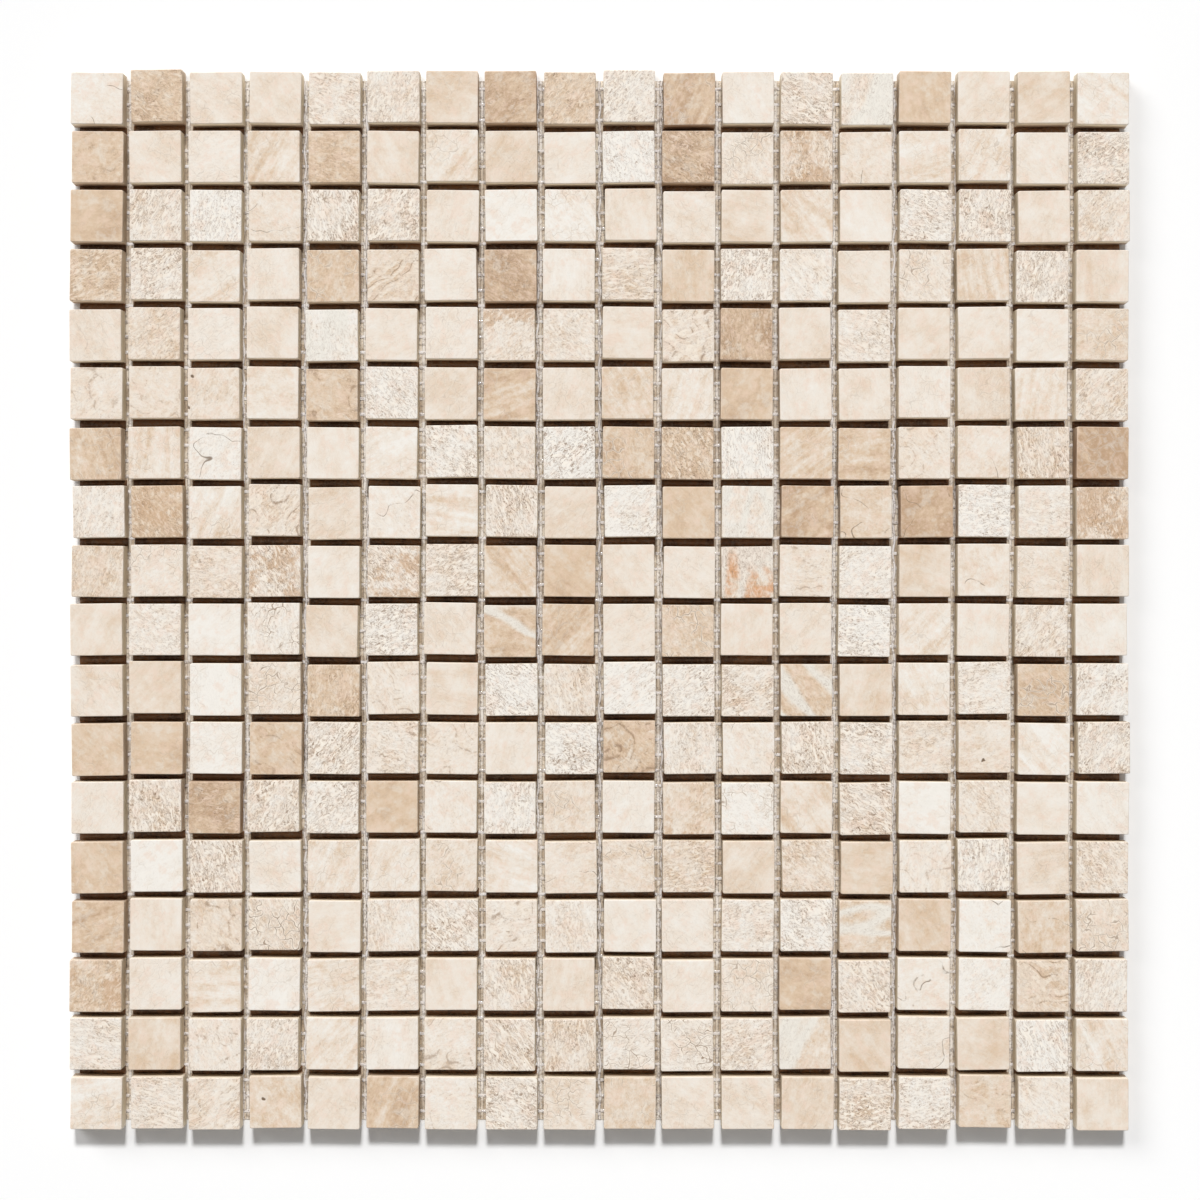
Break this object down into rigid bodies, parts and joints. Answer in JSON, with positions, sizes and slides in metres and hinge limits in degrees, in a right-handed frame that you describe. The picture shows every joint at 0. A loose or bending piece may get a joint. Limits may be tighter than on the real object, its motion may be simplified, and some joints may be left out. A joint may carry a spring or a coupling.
{
  "type": "mosaic tile sheet",
  "caption": "Square flat sheet of small cream marble tiles set in a grid on a glass-fibre net, ready to be bonded face out and grouted.",
  "frame": {"origin": "middle of the sheet, on the plane of the net's underside that is bonded to the wall or floor", "axes": "+Z out of the tiles' polished faces, +Y towards row 1 at the top of the sheet, +X towards the last column at the right"},
  "size_m": [0.3058, 0.3059, 0.0076],
  "materials": {
    "marble": "polished cream marble with sawn backs and sides",
    "net": "coated white glass-fibre yarn"
  },
  "bodies": {
    "root": {"tile_row_01": "marble", "tile_row_02": "marble", "tile_row_03": "marble", "tile_row_04": "marble", "tile_row_05": "marble", "tile_row_06": "marble", "tile_row_07": "marble", "tile_row_08": "marble", "tile_row_09": "marble", "tile_row_10": "marble", "tile_row_11": "marble", "tile_row_12": "marble", "tile_row_13": "marble", "tile_row_14": "marble", "tile_row_15": "marble", "tile_row_16": "marble", "tile_row_17": "marble", "tile_row_18": "marble", "net_lengthways_yarns": "net", "net_crossways_yarns": "net"}
  },
  "joints": []
}
